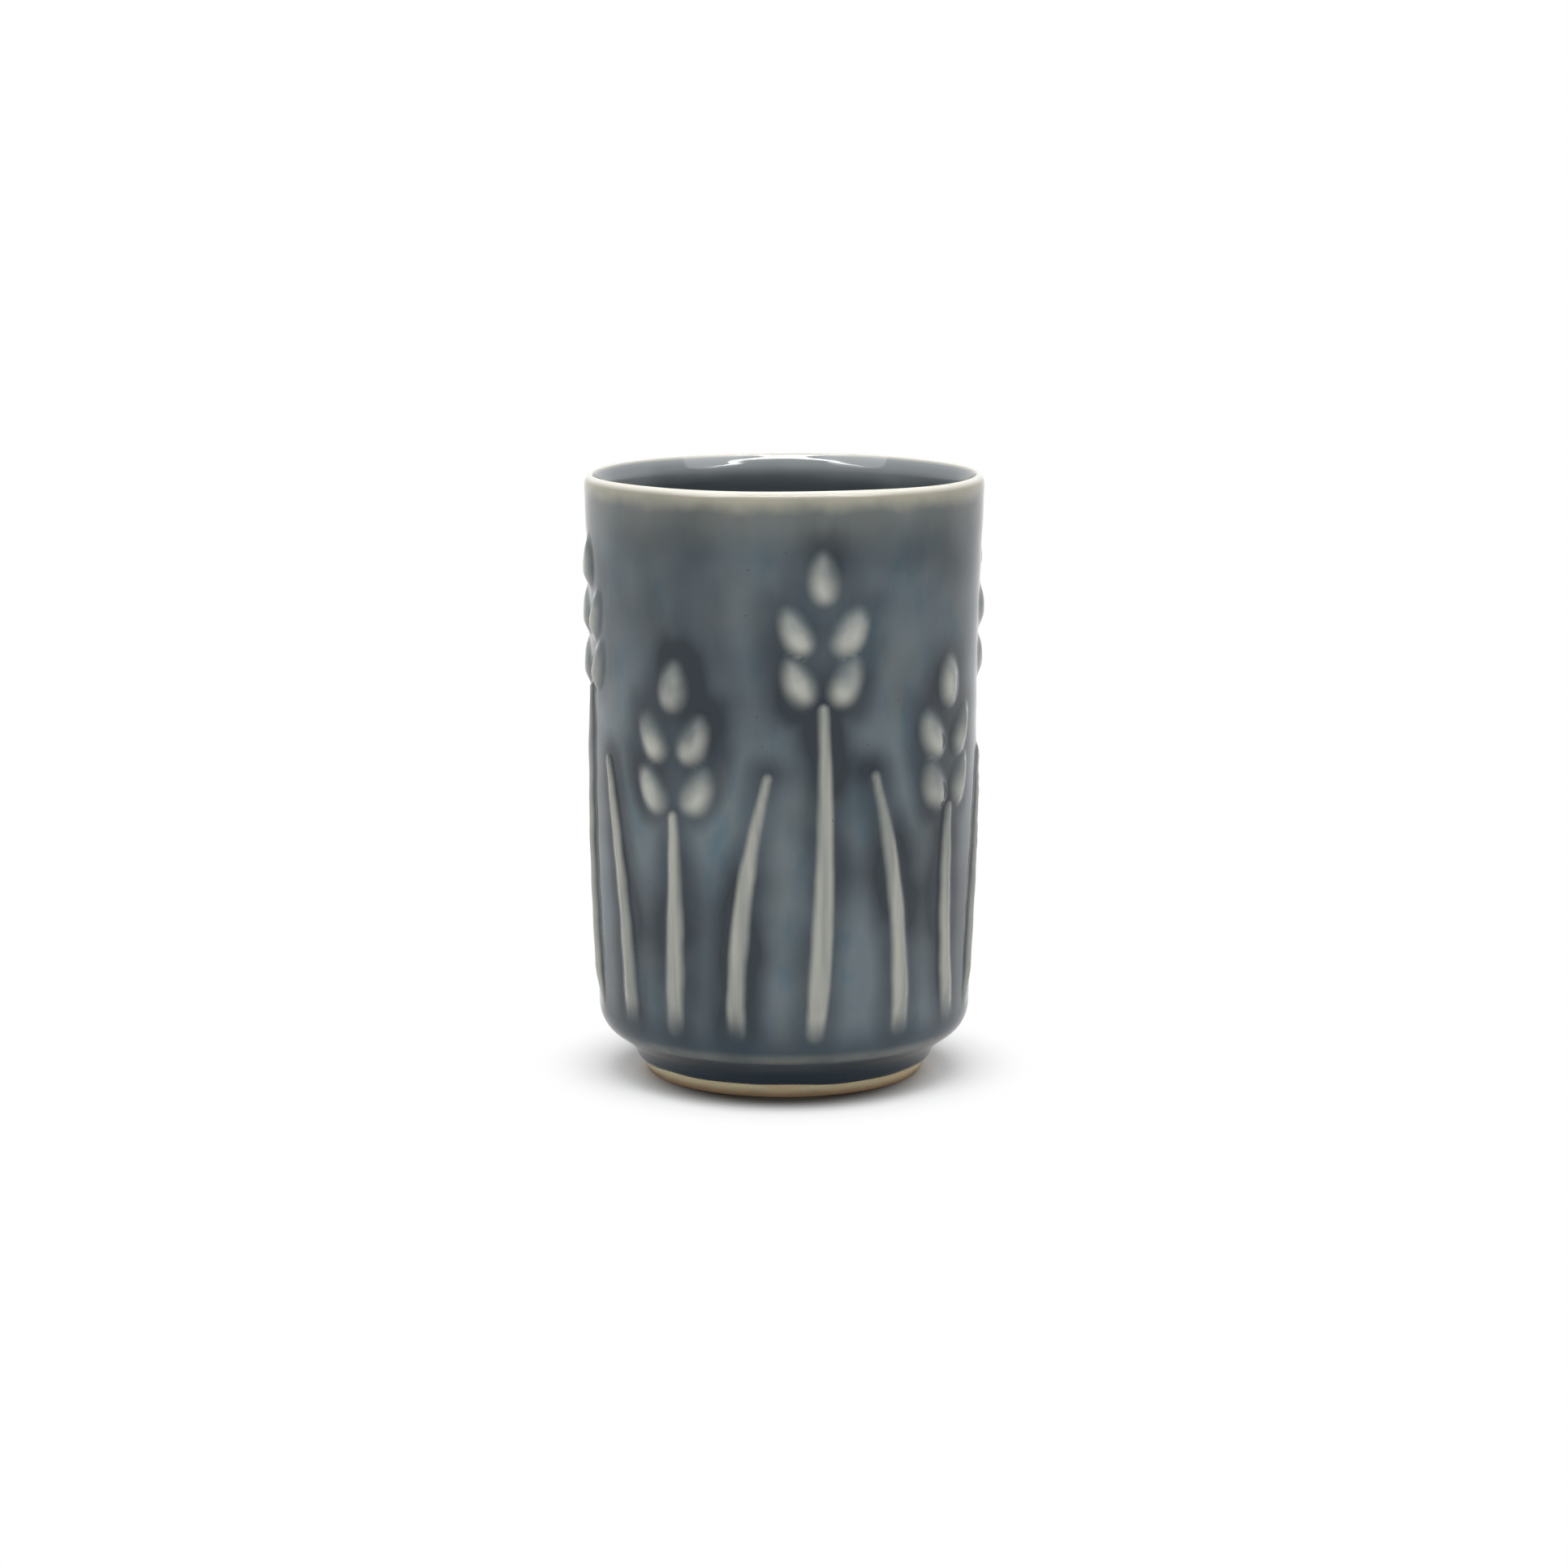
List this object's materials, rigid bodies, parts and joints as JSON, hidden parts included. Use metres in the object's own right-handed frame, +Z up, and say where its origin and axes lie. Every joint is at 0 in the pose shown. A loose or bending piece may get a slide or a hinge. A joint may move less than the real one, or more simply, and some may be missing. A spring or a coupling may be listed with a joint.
{
  "type": "whiskey cup",
  "caption": "Straight-sided stoneware cup on a turned foot ring, with trailed slip ears and leaf blades in relief under a blue-grey glaze; holds a drink.",
  "frame": {"origin": "centre of the foot ring's standing face", "axes": "+Z up through the rim, -Y towards the side seen in the picture"},
  "size_m": [0.0666, 0.0666, 0.1],
  "materials": {
    "clay": "bare fired buff clay, matt",
    "glaze": "glossy half-clear blue-grey glaze",
    "liner": "glossy half-clear blue-grey glaze",
    "slip": "white slip under a thin film of glossy glaze"
  },
  "bodies": {
    "root": {"clay_body": "clay", "liner_glaze": "liner", "outer_glaze": "glaze", "slip_blade_01": "slip", "slip_blade_02": "slip", "slip_blade_03": "slip", "slip_blade_04": "slip", "slip_blade_05": "slip", "slip_blade_06": "slip", "slip_blade_07": "slip", "slip_blade_08": "slip", "slip_grain_01_1": "slip", "slip_grain_01_2": "slip", "slip_grain_01_3": "slip", "slip_grain_01_4": "slip", "slip_grain_01_5": "slip", "slip_grain_02_1": "slip", "slip_grain_02_2": "slip", "slip_grain_02_3": "slip", "slip_grain_02_4": "slip", "slip_grain_02_5": "slip", "slip_grain_03_1": "slip", "slip_grain_03_2": "slip", "slip_grain_03_3": "slip", "slip_grain_03_4": "slip", "slip_grain_03_5": "slip", "slip_grain_04_1": "slip", "slip_grain_04_2": "slip", "slip_grain_04_3": "slip", "slip_grain_04_4": "slip", "slip_grain_04_5": "slip", "slip_grain_05_1": "slip", "slip_grain_05_2": "slip", "slip_grain_05_3": "slip", "slip_grain_05_4": "slip", "slip_grain_05_5": "slip", "slip_grain_06_1": "slip", "slip_grain_06_2": "slip", "slip_grain_06_3": "slip", "slip_grain_06_4": "slip", "slip_grain_06_5": "slip", "slip_grain_07_1": "slip", "slip_grain_07_2": "slip", "slip_grain_07_3": "slip", "slip_grain_07_4": "slip", "slip_grain_07_5": "slip", "slip_grain_08_1": "slip", "slip_grain_08_2": "slip", "slip_grain_08_3": "slip", "slip_grain_08_4": "slip", "slip_grain_08_5": "slip", "slip_stem_01": "slip", "slip_stem_02": "slip", "slip_stem_03": "slip", "slip_stem_04": "slip", "slip_stem_05": "slip", "slip_stem_06": "slip", "slip_stem_07": "slip", "slip_stem_08": "slip"}
  },
  "joints": []
}
